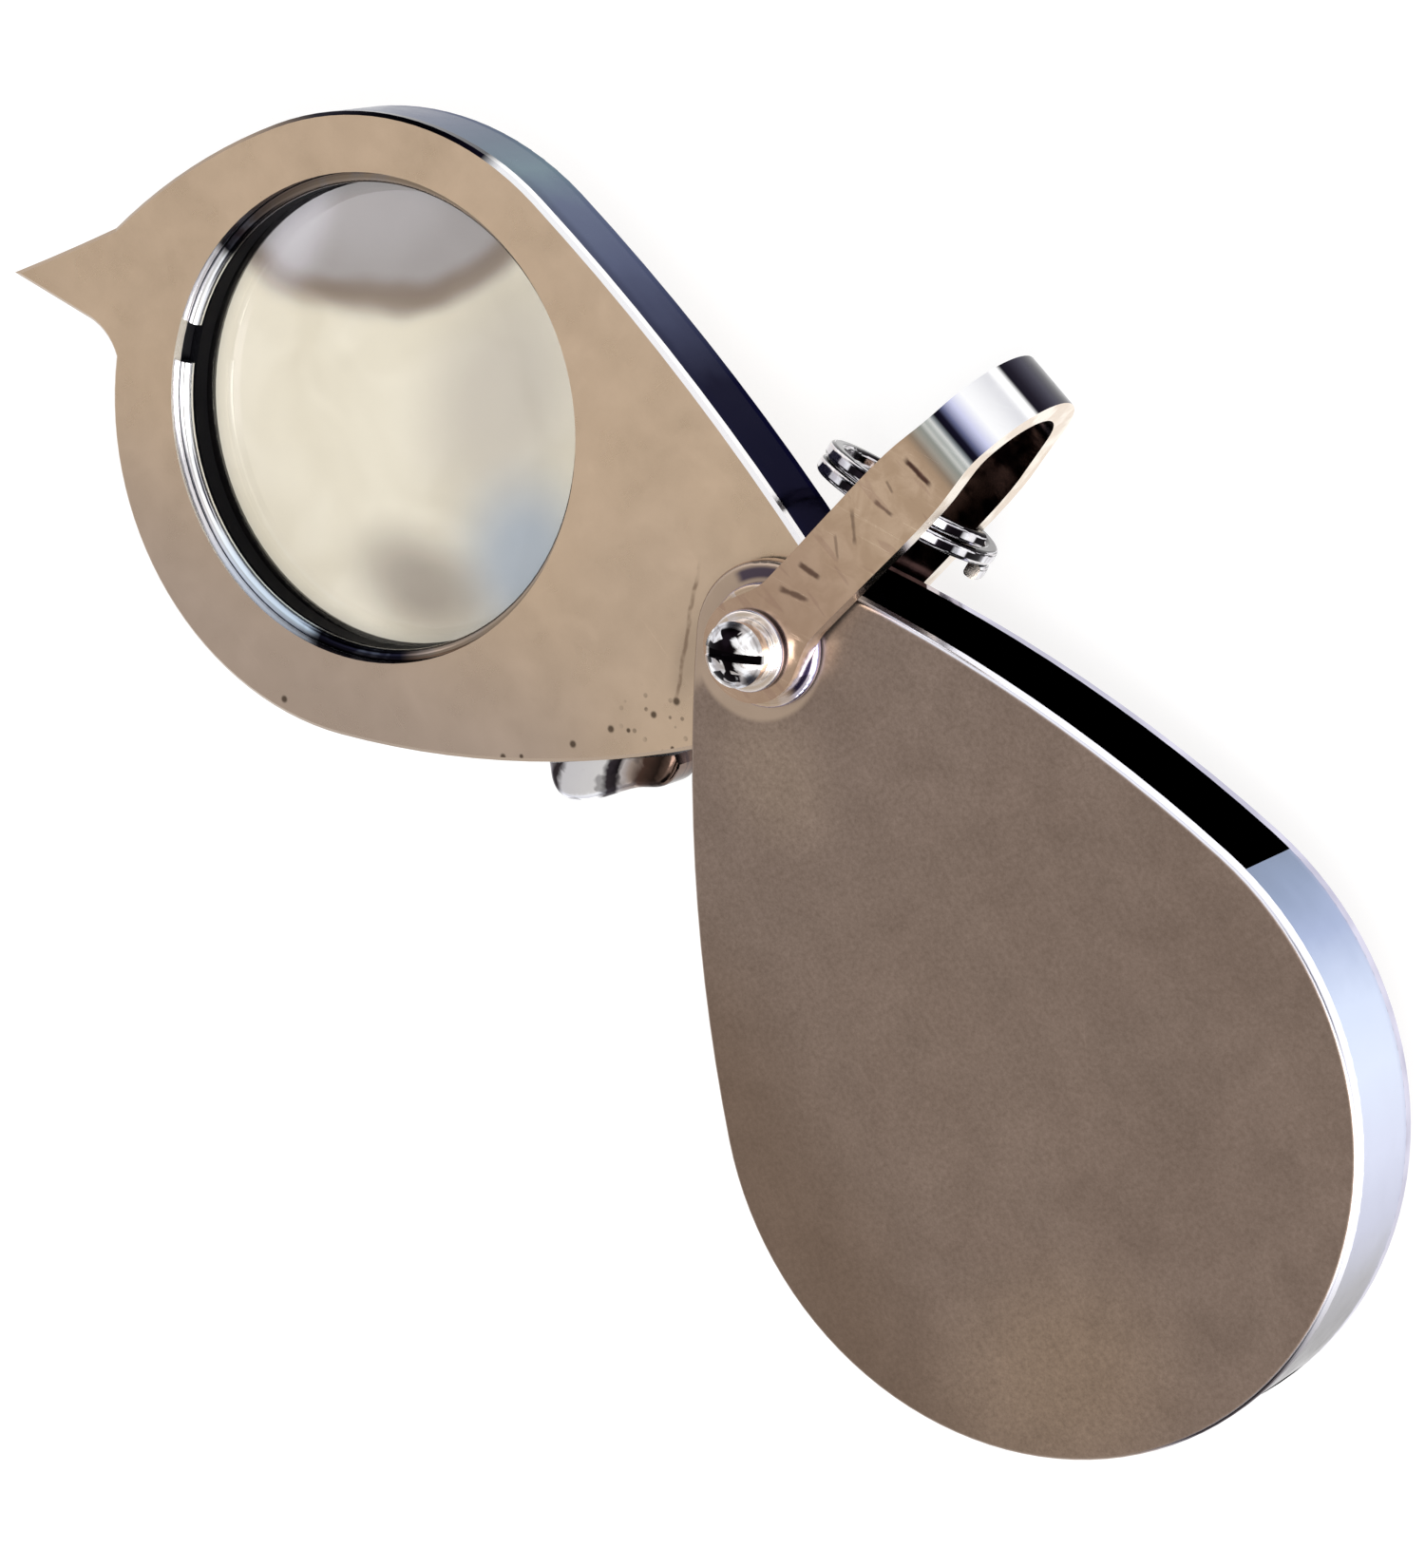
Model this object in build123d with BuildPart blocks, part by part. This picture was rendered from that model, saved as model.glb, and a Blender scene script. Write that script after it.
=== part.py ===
from build123d import *
import os
from math import sin, cos, radians, sqrt, atan2, degrees, hypot

# Folding pocket loupe: a flat two-plate case with a wall strip on part of its wide
# end, a lens frame that swings out of the case on one pivot screw, and a strap bail
# that straddles the case on the same screw and carries a small split ring.
#
# Frame: millimetres. The origin is on the pivot axis, half way through the
# thickness. +Z is the axis of the pivot screw and points out of the front
# plate, and the case's centre line runs along +X.

# ---------------------------------------------------------------- dimensions
# case
pivot_to_centre = 20.7     # pivot to the centre of the wide end, case and lens frame
case_r_wide = 13.7         # radius of the wide end
case_r_narrow = 3.3        # radius of the pivot end
case_r_side = 66.7         # radius of the bowed sides
case_radii = (case_r_wide, case_r_narrow, case_r_side, case_r_side)
case_half = 2.55           # half of the case's thickness
case_plate_t = 0.6
case_edge = 0.2            # rounding of the plates' outer edges
case_hole_clearance = 0.05  # on the radius, round the screw's shank
wall_t = 0.55              # thickness of the wall strip
wall_from = 12.0           # the wall's ends, in degrees about the wide centre
wall_to = 107.0
gap_half = case_half - case_plate_t

# lens frame
open_angle = -143.0        # the frame's direction when the loupe is open
frame_r_wide = 12.86
frame_r_narrow = 3.25
frame_r_side_lug = 45.7    # side that carries the thumb lug
frame_r_side_plain = 100.7
frame_radii = (frame_r_wide, frame_r_narrow, frame_r_side_lug, frame_r_side_plain)
frame_half = 1.75
frame_plate_t = 0.5
frame_edge = 0.16          # chamfer or rounding of the plates' outer edges
band_t = 0.7
band_half = frame_half - frame_plate_t

# pointed tab on the frame's front plate, in the frame's own plane
tab_up_angle = -52.0       # where the tab's flanks leave the round end, in degrees
tab_low_angle = 9.4
tab_tip = (39.45, 0.82)
tab_up = (34.98, -3.0)     # the corner on the long flank
tab_up_mid = (36.92, -1.3)
tab_low = (35.4, 1.1)      # where the short flank's straight part starts
tab_low_mid = (34.12, 1.45)

# thumb lug
lug_x = 6.1                # where the lug's middle sits along the frame
lug_half_t = 1.12
lug_round = 0.42
lug_tail = -3.3            # the lug's ends along the frame's edge, from its middle
lug_nose = 2.85
lug_base = 0.06            # heights above the frame's edge
lug_end_h = 0.5
stem_r = 0.62
stem_hole_r = 0.66
stem_overlap = 0.25        # stem's extra length at each face of the band

# cell and lens
window_r = 10.0            # bore of the cell and of both windows
window_x = 20.6
window_y = -0.5            # the window sits a little off the centre line
cell_r_out = 11.2
cell_lip_r = 9.45          # rear lip
cell_lip_t = 0.28
lens_r = 9.96
lens_edge_back = -0.88     # z of the lens's edge, rear and front
lens_edge_front = -0.28
lens_sag_back = 0.60
lens_sag_front = 1.25
spacer_r_in = 9.6
spacer_z = lens_edge_front + 0.11
ring_wire = 0.6            # wire of the retaining ring
ring_centre_r = 9.84
ring_z = 0.95
groove_r = 10.22
groove_front = ring_z + 0.28
groove_back = ring_z - 0.32
ring_gap_from = -0.5       # the split, in degrees about the window's centre
ring_gap_to = 9.5

# pivot
play = 0.02                # end clearance between stacked parts
shank_r = 0.9
bush_r_in = 0.93
bush_r_out = 1.5
boss_r_in = 1.55
boss_clearance = 0.03      # on the radius, inside the band
friction_r_out = 2.9
friction_r_in = bush_r_out + 0.04
friction_t = gap_half - frame_half - 2 * play
washer_t = 0.3             # screw and bail washers
washer_edge = 0.12
screw_washer_r = 1.62
screw_washer_r_in = shank_r + 0.04
bail_washer_r = 2.45
bail_washer_r_in = shank_r + 0.05

# bail
bail_angle = 102.0         # direction of the bail from the pivot
strap_t = 1.0
strap_blank_half_w = 3.0   # before the strap is trimmed to its outline
strap_hole_r = shank_r + 0.06
ear_r = 2.1
ear_in = case_half + washer_t + 2 * play
ear_out = ear_in + strap_t
ear_flat_from = -ear_r - 0.2   # the ears' flat part, along the bail
ear_flat_to = ear_r + 0.4
half_w_low = 2.86 / 2      # half widths: just above the ears,
half_w_mid = 3.0 / 2       # at the middle of the arms,
half_w_high = 2.4 / 2      # and round the bend
bend_start = 11.4
bend_r_out = 3.5
bend_r_in = bend_r_out - strap_t

# screw head and nut
head_z = ear_out + washer_t + 2 * play
head_r = 1.3
head_h = 1.35
head_side_h = 0.85         # straight part of the head, below the dome
head_slot_angle = 52
head_slot_length = 3.2
head_slot_w = 0.36
head_slot_depth = 0.6
nut_z = -(ear_out + 2 * play)
nut_r = 1.6
nut_h = 0.95
nut_edge = 0.3
nut_hole_r = shank_r + 0.02
nut_slot_r = 1.3           # centre of each of the nut's two slots
nut_slot_angle = 20
nut_slot_length = 0.62
nut_slot_w = 0.34
nut_slot_depth = 0.4
shank_end_z = nut_z - nut_h + 0.05

# small split ring on the bail's rear arm
coil_r = 3.6               # radius of the coil's centre line
coil_wire_r = 0.6          # wire size across the radius
coil_wire_axial = 0.62     # wire size along the axis
coil_wire_round = 0.18
coil_pitch = 0.66
coil_turns = 1.96
coil_centre = (6.2, -0.9, -2.0)    # along the bail, to its right seen from +Z, and z
coil_normal = (0.93, -0.27, -0.24)  # the ring's axis in the same directions


# ------------------------------------------------------------------- helpers
def polar(r, angle, centre_x=0):
    return (centre_x + r * cos(radians(angle)), r * sin(radians(angle)))


def flip(point):
    return (point[0], -point[1])


def turned(direction, x, y):
    """XYZ of a point given along a direction in plan and to its left."""
    return (x * direction[0] - y * direction[1], x * direction[1] + y * direction[0], 0)


def right_of(direction):
    return (direction[1], -direction[0], 0)


def side_centre(r_wide, r_narrow, r_side):
    """Centre of the +Y side arc, tangent to both round ends."""
    to_narrow = r_side - r_narrow
    to_wide = r_side - r_wide
    x = (to_narrow ** 2 - to_wide ** 2 + pivot_to_centre ** 2) / (2 * pivot_to_centre)
    return x, -sqrt(to_narrow ** 2 - x ** 2)


def side_arc(r_wide, r_narrow, r_side):
    """Wide end, middle and narrow end of the +Y side arc."""
    x, y = side_centre(r_wide, r_narrow, r_side)
    from_wide = hypot(pivot_to_centre - x, -y)
    from_narrow = hypot(-x, -y)
    wide = (pivot_to_centre + (pivot_to_centre - x) / from_wide * r_wide,
            -y / from_wide * r_wide)
    narrow = (-x / from_narrow * r_narrow, -y / from_narrow * r_narrow)
    chord_x = (wide[0] + narrow[0]) / 2 - x
    chord_y = (wide[1] + narrow[1]) / 2 - y
    chord = hypot(chord_x, chord_y)
    middle = (x + chord_x / chord * r_side, y + chord_y / chord * r_side)
    return wide, middle, narrow


def drop_sides(r_wide, r_narrow, r_plus, r_minus):
    """Points of the +Y side arc and of the -Y side arc."""
    plus = side_arc(r_wide, r_narrow, r_plus)
    minus = [flip(point) for point in side_arc(r_wide, r_narrow, r_minus)]
    return plus, minus


def drop_outline(radii, inset=0.0):
    """Closed edges of the drop shape, bowed sides tangent to both round ends."""
    r_wide, r_narrow, r_plus, r_minus = [r - inset for r in radii]
    plus, minus = drop_sides(r_wide, r_narrow, r_plus, r_minus)
    ThreePointArc(plus[0], (pivot_to_centre + r_wide, 0), minus[0])
    ThreePointArc(*minus)
    ThreePointArc(minus[2], (-r_narrow, 0), plus[2])
    ThreePointArc(plus[2], plus[1], plus[0])


def tube(plane, r_out, r_in, height):
    with BuildPart() as ring:
        with BuildSketch(plane):
            Circle(r_out)
            Circle(r_in, mode=Mode.SUBTRACT)
        extrude(amount=height)
    return ring.part


def rounded_washer(base_z, r_out, r_in, round_face):
    """Washer with one outer edge rounded; round_face is 0 for rear, -1 for front."""
    with BuildPart() as washer:
        with BuildSketch(Plane.XY.offset(base_z)):
            Circle(r_out)
            Circle(r_in, mode=Mode.SUBTRACT)
        extrude(amount=washer_t)
        face = washer.faces().sort_by(Axis.Z)[round_face]
        fillet(face.edges().sort_by(SortBy.LENGTH)[-1], washer_edge)
    return washer.part


# -------------------------------------------------------------------- planes
lens_dir = turned((1, 0), *polar(1, open_angle))
frame_plane = Plane(origin=(0, 0, 0), x_dir=lens_dir, z_dir=(0, 0, 1))

bail_dir = turned((1, 0), *polar(1, bail_angle))
bail_plan = Plane(origin=(0, 0, 0), x_dir=bail_dir, z_dir=(0, 0, 1))
bail_side = Plane(origin=(0, 0, 0), x_dir=bail_dir, z_dir=right_of(bail_dir))

cell_origin = turned(lens_dir, window_x, window_y)
cell_plane = Plane(origin=cell_origin, x_dir=lens_dir, z_dir=(0, 0, 1))
cell_side = Plane(origin=cell_origin, x_dir=lens_dir, z_dir=right_of(lens_dir))
cell_axis = Axis(origin=cell_origin, direction=(0, 0, 1))

# the lug stands on the frame's side arc, square to it
arc_x, arc_y = side_centre(frame_r_wide, frame_r_narrow, frame_r_side_lug)
lug_y = arc_y + sqrt(frame_r_side_lug ** 2 - (lug_x - arc_x) ** 2)
lug_out = turned(lens_dir, (lug_x - arc_x) / frame_r_side_lug,
                 (lug_y - arc_y) / frame_r_side_lug)
lug_origin = turned(lens_dir, lug_x, lug_y)
stem_plane = Plane(origin=lug_origin, x_dir=(-lug_out[1], lug_out[0], 0), z_dir=lug_out)
lug_side = Plane(origin=lug_origin, x_dir=right_of(lug_out), z_dir=(0, 0, 1))


# ---------------------------------------------------------------------- case
def make_case_plate(base_z, outer_face):
    """Drop-shaped plate with a pivot hole; outer_face is 0 for rear, -1 for front."""
    with BuildPart() as plate:
        with BuildSketch(Plane.XY.offset(base_z)):
            with BuildLine():
                drop_outline(case_radii)
            make_face()
        extrude(amount=case_plate_t)
        fillet(plate.faces().sort_by(Axis.Z)[outer_face].edges(), case_edge)
        with BuildSketch(Plane.XY.offset(base_z)):
            Circle(shank_r + case_hole_clearance)
        extrude(amount=case_plate_t, mode=Mode.SUBTRACT)
    return plate.part


def make_case_wall():
    """Strip that joins the plates round the +Y part of the wide end."""
    angles = (wall_from, (wall_from + wall_to) / 2, wall_to)
    outer = [polar(case_r_wide, angle, pivot_to_centre) for angle in angles]
    inner = [polar(case_r_wide - wall_t, angle, pivot_to_centre) for angle in angles]
    with BuildPart() as wall:
        with BuildSketch(Plane.XY.offset(-gap_half)):
            with BuildLine():
                ThreePointArc(*outer)
                Line(outer[2], inner[2])
                ThreePointArc(inner[2], inner[1], inner[0])
                Line(inner[0], outer[0])
            make_face()
        extrude(amount=2 * gap_half)
    return wall.part


# --------------------------------------------------------------------- pivot
def make_pivot_screw():
    """Slotted domed head and a plain shank through the whole stack."""
    top = head_z + head_h
    dome_z = head_z + head_side_h
    dome_h = head_h - head_side_h
    dome_r = (head_r ** 2 + dome_h ** 2) / (2 * dome_h)
    dome_mid = (head_r / 2, top - dome_r + sqrt(dome_r ** 2 - head_r ** 2 / 4))
    slot_dir = turned((1, 0), *polar(1, head_slot_angle))
    with BuildPart() as screw:
        with BuildSketch(Plane.XZ):
            with BuildLine():
                Line((0, shank_end_z), (shank_r, shank_end_z))
                Line((shank_r, shank_end_z), (shank_r, head_z))
                Line((shank_r, head_z), (head_r, head_z))
                Line((head_r, head_z), (head_r, dome_z))
                ThreePointArc((head_r, dome_z), dome_mid, (0, top))
                Line((0, top), (0, shank_end_z))
            make_face()
        revolve(axis=Axis.Z)
        with BuildSketch(Plane(origin=(0, 0, top), x_dir=slot_dir, z_dir=(0, 0, 1))):
            Rectangle(head_slot_length, head_slot_w)
        extrude(amount=-head_slot_depth, mode=Mode.SUBTRACT)
    return screw.part


def make_pivot_nut():
    """Round nut behind the rear ear, with two slots in its rear face."""
    with BuildPart() as nut:
        with BuildSketch(Plane.XY.offset(nut_z)):
            Circle(nut_r)
        extrude(amount=-nut_h)
        fillet(nut.faces().sort_by(Axis.Z)[0].edges(), nut_edge)
        with BuildSketch(Plane.XY.offset(nut_z)):
            Circle(nut_hole_r)
        extrude(amount=-nut_h, mode=Mode.SUBTRACT)
        with BuildSketch(Plane.XY.offset(nut_z - nut_h)):
            with PolarLocations(nut_slot_r, 2, start_angle=nut_slot_angle):
                Rectangle(nut_slot_length, nut_slot_w)
        extrude(amount=nut_slot_depth, mode=Mode.SUBTRACT)
    return nut.part


# ---------------------------------------------------------------------- bail
def make_bail_strap():
    """Strap bent into a U: side profile first, then trimmed to its outline in plan."""
    bend_tip = bend_start + bend_r_out
    cut_half = 5               # half height of the trimming and drilling cuts
    outline_end = bend_tip + 0.5
    waist = bend_start + 1.1   # where the width becomes constant
    neck = ear_r + 0.55
    ear_x = 0.6                # where the neck's curves meet the round ear
    ear_y = sqrt(ear_r ** 2 - ear_x ** 2)
    shoulder = (bend_start - 1.0, half_w_high + 0.21)
    middle = (8.0, half_w_mid)
    with BuildPart() as strap:
        with BuildSketch(bail_side):
            with BuildLine():
                Polyline((bend_start, bend_r_out), (ear_flat_to, ear_out),
                         (ear_flat_from, ear_out), (ear_flat_from, ear_in),
                         (ear_flat_to, ear_in), (bend_start, bend_r_in))
                ThreePointArc((bend_start, bend_r_in), (bend_start + bend_r_in, 0),
                              (bend_start, -bend_r_in))
                Polyline((bend_start, -bend_r_in), (ear_flat_to, -ear_in),
                         (ear_flat_from, -ear_in), (ear_flat_from, -ear_out),
                         (ear_flat_to, -ear_out), (bend_start, -bend_r_out))
                ThreePointArc((bend_start, -bend_r_out), (bend_tip, 0),
                              (bend_start, bend_r_out))
            make_face()
        extrude(amount=strap_blank_half_w, both=True)
        with BuildSketch(bail_plan.offset(-cut_half)):
            with BuildLine():
                Line((outline_end, half_w_high), (waist, half_w_high))
                Spline((waist, half_w_high), shoulder, middle, (neck, half_w_low),
                       tangents=[(-1, 0), (-1, 0)])
                Spline((neck, half_w_low), (ear_x, ear_y),
                       tangents=[(-1, 0), (-ear_y, ear_x)])
                ThreePointArc((ear_x, ear_y), (-ear_r, 0), (ear_x, -ear_y))
                Spline((ear_x, -ear_y), (neck, -half_w_low),
                       tangents=[(ear_y, ear_x), (1, 0)])
                Spline((neck, -half_w_low), flip(middle), flip(shoulder),
                       (waist, -half_w_high), tangents=[(1, 0), (1, 0)])
                Line((waist, -half_w_high), (outline_end, -half_w_high))
                Line((outline_end, -half_w_high), (outline_end, half_w_high))
            make_face()
        extrude(amount=2 * cut_half, mode=Mode.INTERSECT)
        with BuildSketch(Plane.XY.offset(-cut_half)):
            Circle(strap_hole_r)
        extrude(amount=2 * cut_half, mode=Mode.SUBTRACT)
    return strap.part


def make_bail_split_ring():
    """Nearly two close turns of flattened wire round the bail's rear arm."""
    along, right, z = coil_centre
    centre = turned(bail_dir, along, -right)[:2] + (z,)
    along, right, z = coil_normal
    axis = turned(bail_dir, along, -right)[:2] + (z,)
    axis_length = sqrt(axis[0] ** 2 + axis[1] ** 2 + axis[2] ** 2)
    height = coil_pitch * coil_turns
    start = tuple(centre[i] - axis[i] / axis_length * height / 2 for i in range(3))
    with BuildPart() as ring:
        with BuildLine() as coil:
            Helix(pitch=coil_pitch, height=height, radius=coil_r, center=start,
                  direction=axis)
        radial = (coil.line @ 0) - Vector(*start)
        with BuildSketch(Plane(origin=coil.line @ 0, x_dir=radial, z_dir=coil.line % 0)):
            RectangleRounded(coil_wire_r, coil_wire_axial, coil_wire_round)
        sweep(path=coil.line, is_frenet=True)
    return ring.part


# ---------------------------------------------------------------- lens frame
def make_frame_front_plate():
    """Drop outline with the pointed tab at the far end, and a round window."""
    def on_end(angle):
        return polar(frame_r_wide, angle, pivot_to_centre)

    def end_angle(point):
        return degrees(atan2(point[1], point[0] - pivot_to_centre))

    plus, minus = drop_sides(*frame_radii)
    up = on_end(tab_up_angle)
    low = on_end(tab_low_angle)
    up_tangent = (-sin(radians(tab_up_angle)), cos(radians(tab_up_angle)))
    with BuildPart() as plate:
        with BuildSketch(frame_plane.offset(band_half)):
            with BuildLine():
                ThreePointArc(*minus)
                ThreePointArc(minus[2], (-frame_r_narrow, 0), plus[2])
                ThreePointArc(plus[2], plus[1], plus[0])
                ThreePointArc(plus[0], on_end((end_angle(plus[0]) + tab_low_angle) / 2), low)
                ThreePointArc(low, tab_low_mid, tab_low)
                Line(tab_low, tab_tip)
                ThreePointArc(tab_tip, tab_up_mid, tab_up)
                TangentArc(up, tab_up, tangent=up_tangent)
                ThreePointArc(up, on_end((end_angle(minus[0]) + tab_up_angle) / 2), minus[0])
            make_face()
            with Locations((window_x, window_y)):
                Circle(window_r, mode=Mode.SUBTRACT)
            Circle(boss_r_in, mode=Mode.SUBTRACT)
        extrude(amount=frame_plate_t)
        chamfer(plate.faces().sort_by(Axis.Z)[-1].outer_wire().edges(), frame_edge)
    return plate.part


def make_frame_back_plate():
    """Plain drop outline with the rear window."""
    with BuildPart() as plate:
        with BuildSketch(frame_plane.offset(-frame_half)):
            with BuildLine():
                drop_outline(frame_radii)
            make_face()
            with Locations((window_x, window_y)):
                Circle(window_r, mode=Mode.SUBTRACT)
            Circle(boss_r_in, mode=Mode.SUBTRACT)
        extrude(amount=frame_plate_t)
        fillet(plate.faces().sort_by(Axis.Z)[0].outer_wire().edges(), frame_edge)
    return plate.part


def make_frame_band():
    """Strip that closes the edge all round, with a hole for the lug's stem."""
    with BuildPart() as band:
        with BuildSketch(frame_plane.offset(-band_half)):
            with BuildLine():
                drop_outline(frame_radii)
            make_face()
            with BuildLine():
                drop_outline(frame_radii, inset=band_t)
            make_face(mode=Mode.SUBTRACT)
        extrude(amount=2 * band_half)
        with BuildSketch(stem_plane.offset(-1.6)):
            Circle(stem_hole_r)
        extrude(amount=2.4, mode=Mode.SUBTRACT)
    return band.part


def make_thumb_lug():
    """Lug on the frame's edge, blunt towards the window and tapering towards the
    pivot, with its stem through the band."""
    with BuildPart() as lug:
        with BuildSketch(lug_side.offset(-lug_half_t)):
            with BuildLine():
                Line((lug_tail, lug_base), (lug_nose, lug_base))
                Line((lug_nose, lug_base), (lug_nose, lug_end_h))
                Spline((lug_nose, lug_end_h), (1.1, 1.72), (-1.4, 1.32),
                       (lug_tail, lug_end_h), tangents=[(0, 1), (-0.55, -1)])
                Line((lug_tail, lug_end_h), (lug_tail, lug_base))
            make_face()
        extrude(amount=2 * lug_half_t)
        fillet(lug.edges().filter_by(GeomType.BSPLINE), lug_round)
        with BuildSketch(stem_plane.offset(-band_t - stem_overlap)):
            Circle(stem_r)
        extrude(amount=band_t + 2 * stem_overlap)
    return lug.part


# ------------------------------------------------------------- cell and lens
def make_lens_cell():
    """Tube between the plates, with a rear lip and a groove for the retaining ring."""
    lip_top = -band_half + cell_lip_t
    with BuildPart() as cell:
        with BuildSketch(cell_side):
            with BuildLine():
                Polyline((cell_r_out, -band_half), (cell_r_out, band_half),
                         (window_r, band_half), (window_r, groove_front),
                         (groove_r, groove_front), (groove_r, groove_back),
                         (window_r, groove_back), (window_r, lip_top),
                         (cell_lip_r, lip_top), (cell_lip_r, -band_half),
                         (cell_r_out, -band_half))
            make_face()
        revolve(axis=cell_axis)
    return cell.part


def make_lens():
    """One biconvex glass."""
    back_z = lens_edge_back - lens_sag_back
    front_z = lens_edge_front + lens_sag_front
    back_r = (lens_r ** 2 + lens_sag_back ** 2) / (2 * lens_sag_back)
    front_r = (lens_r ** 2 + lens_sag_front ** 2) / (2 * lens_sag_front)
    half = lens_r / 2
    back_mid = (half, back_z + back_r - sqrt(back_r ** 2 - half ** 2))
    front_mid = (half, front_z - front_r + sqrt(front_r ** 2 - half ** 2))
    with BuildPart() as glass:
        with BuildSketch(cell_side):
            with BuildLine():
                Line((0, front_z), (0, back_z))
                ThreePointArc((0, back_z), back_mid, (lens_r, lens_edge_back))
                Line((lens_r, lens_edge_back), (lens_r, lens_edge_front))
                ThreePointArc((lens_r, lens_edge_front), front_mid, (0, front_z))
            make_face()
        revolve(axis=cell_axis)
    return glass.part


def make_retaining_ring():
    """Split spring wire in the groove, with its gap towards the pointed tab."""
    wedge_r = 12               # reaches past the wire
    with BuildPart() as ring:
        with BuildSketch(cell_side):
            with Locations((ring_centre_r, ring_z)):
                Circle(ring_wire / 2)
        revolve(axis=cell_axis)
        with BuildSketch(cell_plane.offset(ring_z - 1)):
            with BuildLine():
                Polyline((0, 0), polar(wedge_r, ring_gap_from),
                         polar(wedge_r, ring_gap_to), (0, 0))
            make_face()
        extrude(amount=2, mode=Mode.SUBTRACT)
    return ring.part


# --------------------------------------------------------------------- write
bush_half = gap_half - play
pieces = {
    "case_front_plate": make_case_plate(gap_half, -1),
    "case_back_plate": make_case_plate(-case_half, 0),
    "case_wall": make_case_wall(),
    "pivot_screw": make_pivot_screw(),
    # under the screw head
    "screw_washer": rounded_washer(ear_out + play, screw_washer_r, screw_washer_r_in, -1),
    "pivot_nut": make_pivot_nut(),
    # spaces the case plates and is what the lens frame turns on
    "pivot_bush": tube(Plane.XY.offset(-bush_half), bush_r_out, bush_r_in, 2 * bush_half),
    # one on each side of the lens frame
    "front_friction_washer": tube(Plane.XY.offset(frame_half + play),
                                  friction_r_out, friction_r_in, friction_t),
    "rear_friction_washer": tube(Plane.XY.offset(-gap_half + play),
                                 friction_r_out, friction_r_in, friction_t),
    # keep the ears off the case plates
    "front_bail_washer": rounded_washer(case_half + play,
                                        bail_washer_r, bail_washer_r_in, -1),
    "rear_bail_washer": rounded_washer(-case_half - play - washer_t,
                                       bail_washer_r, bail_washer_r_in, 0),
    "bail_strap": make_bail_strap(),
    "bail_split_ring": make_bail_split_ring(),
    "lens_frame_front_plate": make_frame_front_plate(),
    "lens_frame_back_plate": make_frame_back_plate(),
    "lens_frame_band": make_frame_band(),
    # between the frame's plates at the pivot, runs on the bush
    "lens_frame_boss": tube(frame_plane.offset(-band_half),
                            frame_r_narrow - band_t - boss_clearance,
                            boss_r_in, 2 * band_half),
    "thumb_lug": make_thumb_lug(),
    "lens_cell": make_lens_cell(),
    "lens": make_lens(),
    # between the lens and the retaining ring
    "lens_spacer": tube(cell_plane.offset(spacer_z), lens_r, spacer_r_in,
                        ring_z - ring_wire / 2 - play - spacer_z),
    "lens_retaining_ring": make_retaining_ring(),
}

os.makedirs("parts", exist_ok=True)
for name, part in pieces.items():
    part.label = name
    export_step(part, f"parts/{name}.step")
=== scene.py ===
"""Looks and studio for a folding pocket lens.

The pivot axis is Z through the origin. The case lies along +X, and the lens
frame and the bail (a bent strap with a split ring) are swung out about the
pivot. Shader patterns are laid out in millimetres.
"""

import math
from functools import cached_property, reduce

import bpy
from mathutils import Matrix, Vector


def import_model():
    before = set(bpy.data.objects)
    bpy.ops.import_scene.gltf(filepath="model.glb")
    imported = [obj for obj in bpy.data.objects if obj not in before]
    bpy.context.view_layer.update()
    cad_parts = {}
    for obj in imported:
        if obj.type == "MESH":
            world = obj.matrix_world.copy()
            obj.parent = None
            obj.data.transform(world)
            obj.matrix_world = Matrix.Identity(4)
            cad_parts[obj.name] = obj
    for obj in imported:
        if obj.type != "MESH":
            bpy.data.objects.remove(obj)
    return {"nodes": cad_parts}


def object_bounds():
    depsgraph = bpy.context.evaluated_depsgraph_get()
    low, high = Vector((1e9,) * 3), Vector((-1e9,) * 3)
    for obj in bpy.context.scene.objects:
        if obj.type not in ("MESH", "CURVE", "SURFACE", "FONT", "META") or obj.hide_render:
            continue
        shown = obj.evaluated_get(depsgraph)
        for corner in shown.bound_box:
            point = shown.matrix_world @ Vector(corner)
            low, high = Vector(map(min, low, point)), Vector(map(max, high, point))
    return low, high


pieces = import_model()["nodes"]
cad_box = [list(corner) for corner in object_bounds()]
scene = bpy.context.scene

# How far each swinging part is turned about the pivot. Their patterns are
# turned back by the same angle, so that they too are laid out along +X.
OPEN_ANGLE = math.radians(-143.0)
BAIL_ANGLE = math.radians(102.0)

# Millimetres in the pattern layout
END_X = 20.7       # centre of the round end, of the case and of the lens frame
LENS_X = 20.6      # lens axis, which passes through (LENS_X, -LENS_DROP)
LENS_DROP = 0.5
BEND_X = 11.4      # centre of the bail's bend
FRAME_SPAN = (-3.0, 33.0)  # x range of the lens frame band's painted reflection

WHITE_LEVELS = (255, 255, 255)


def srgb(red, green, blue):
    """Linear colour of an 8-bit display colour."""
    linear = []
    for level in (red, green, blue):
        level /= 255.0
        linear.append(level / 12.92 if level <= 0.04045 else ((level + 0.055) / 1.055) ** 2.4)
    return (*linear, 1.0)


def stops(*rows):
    """Ramp stops from rows of position, red, green, blue (8-bit)."""
    return [(position, srgb(*levels)) for position, *levels in rows]


# ------------------------------------------------------------- node helpers
def operation(kind, swap=False):
    """An arithmetic method that adds one Math node."""
    def apply(self, other):
        return self.tree.math(kind, *((other, self) if swap else (self, other)))
    return apply


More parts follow.
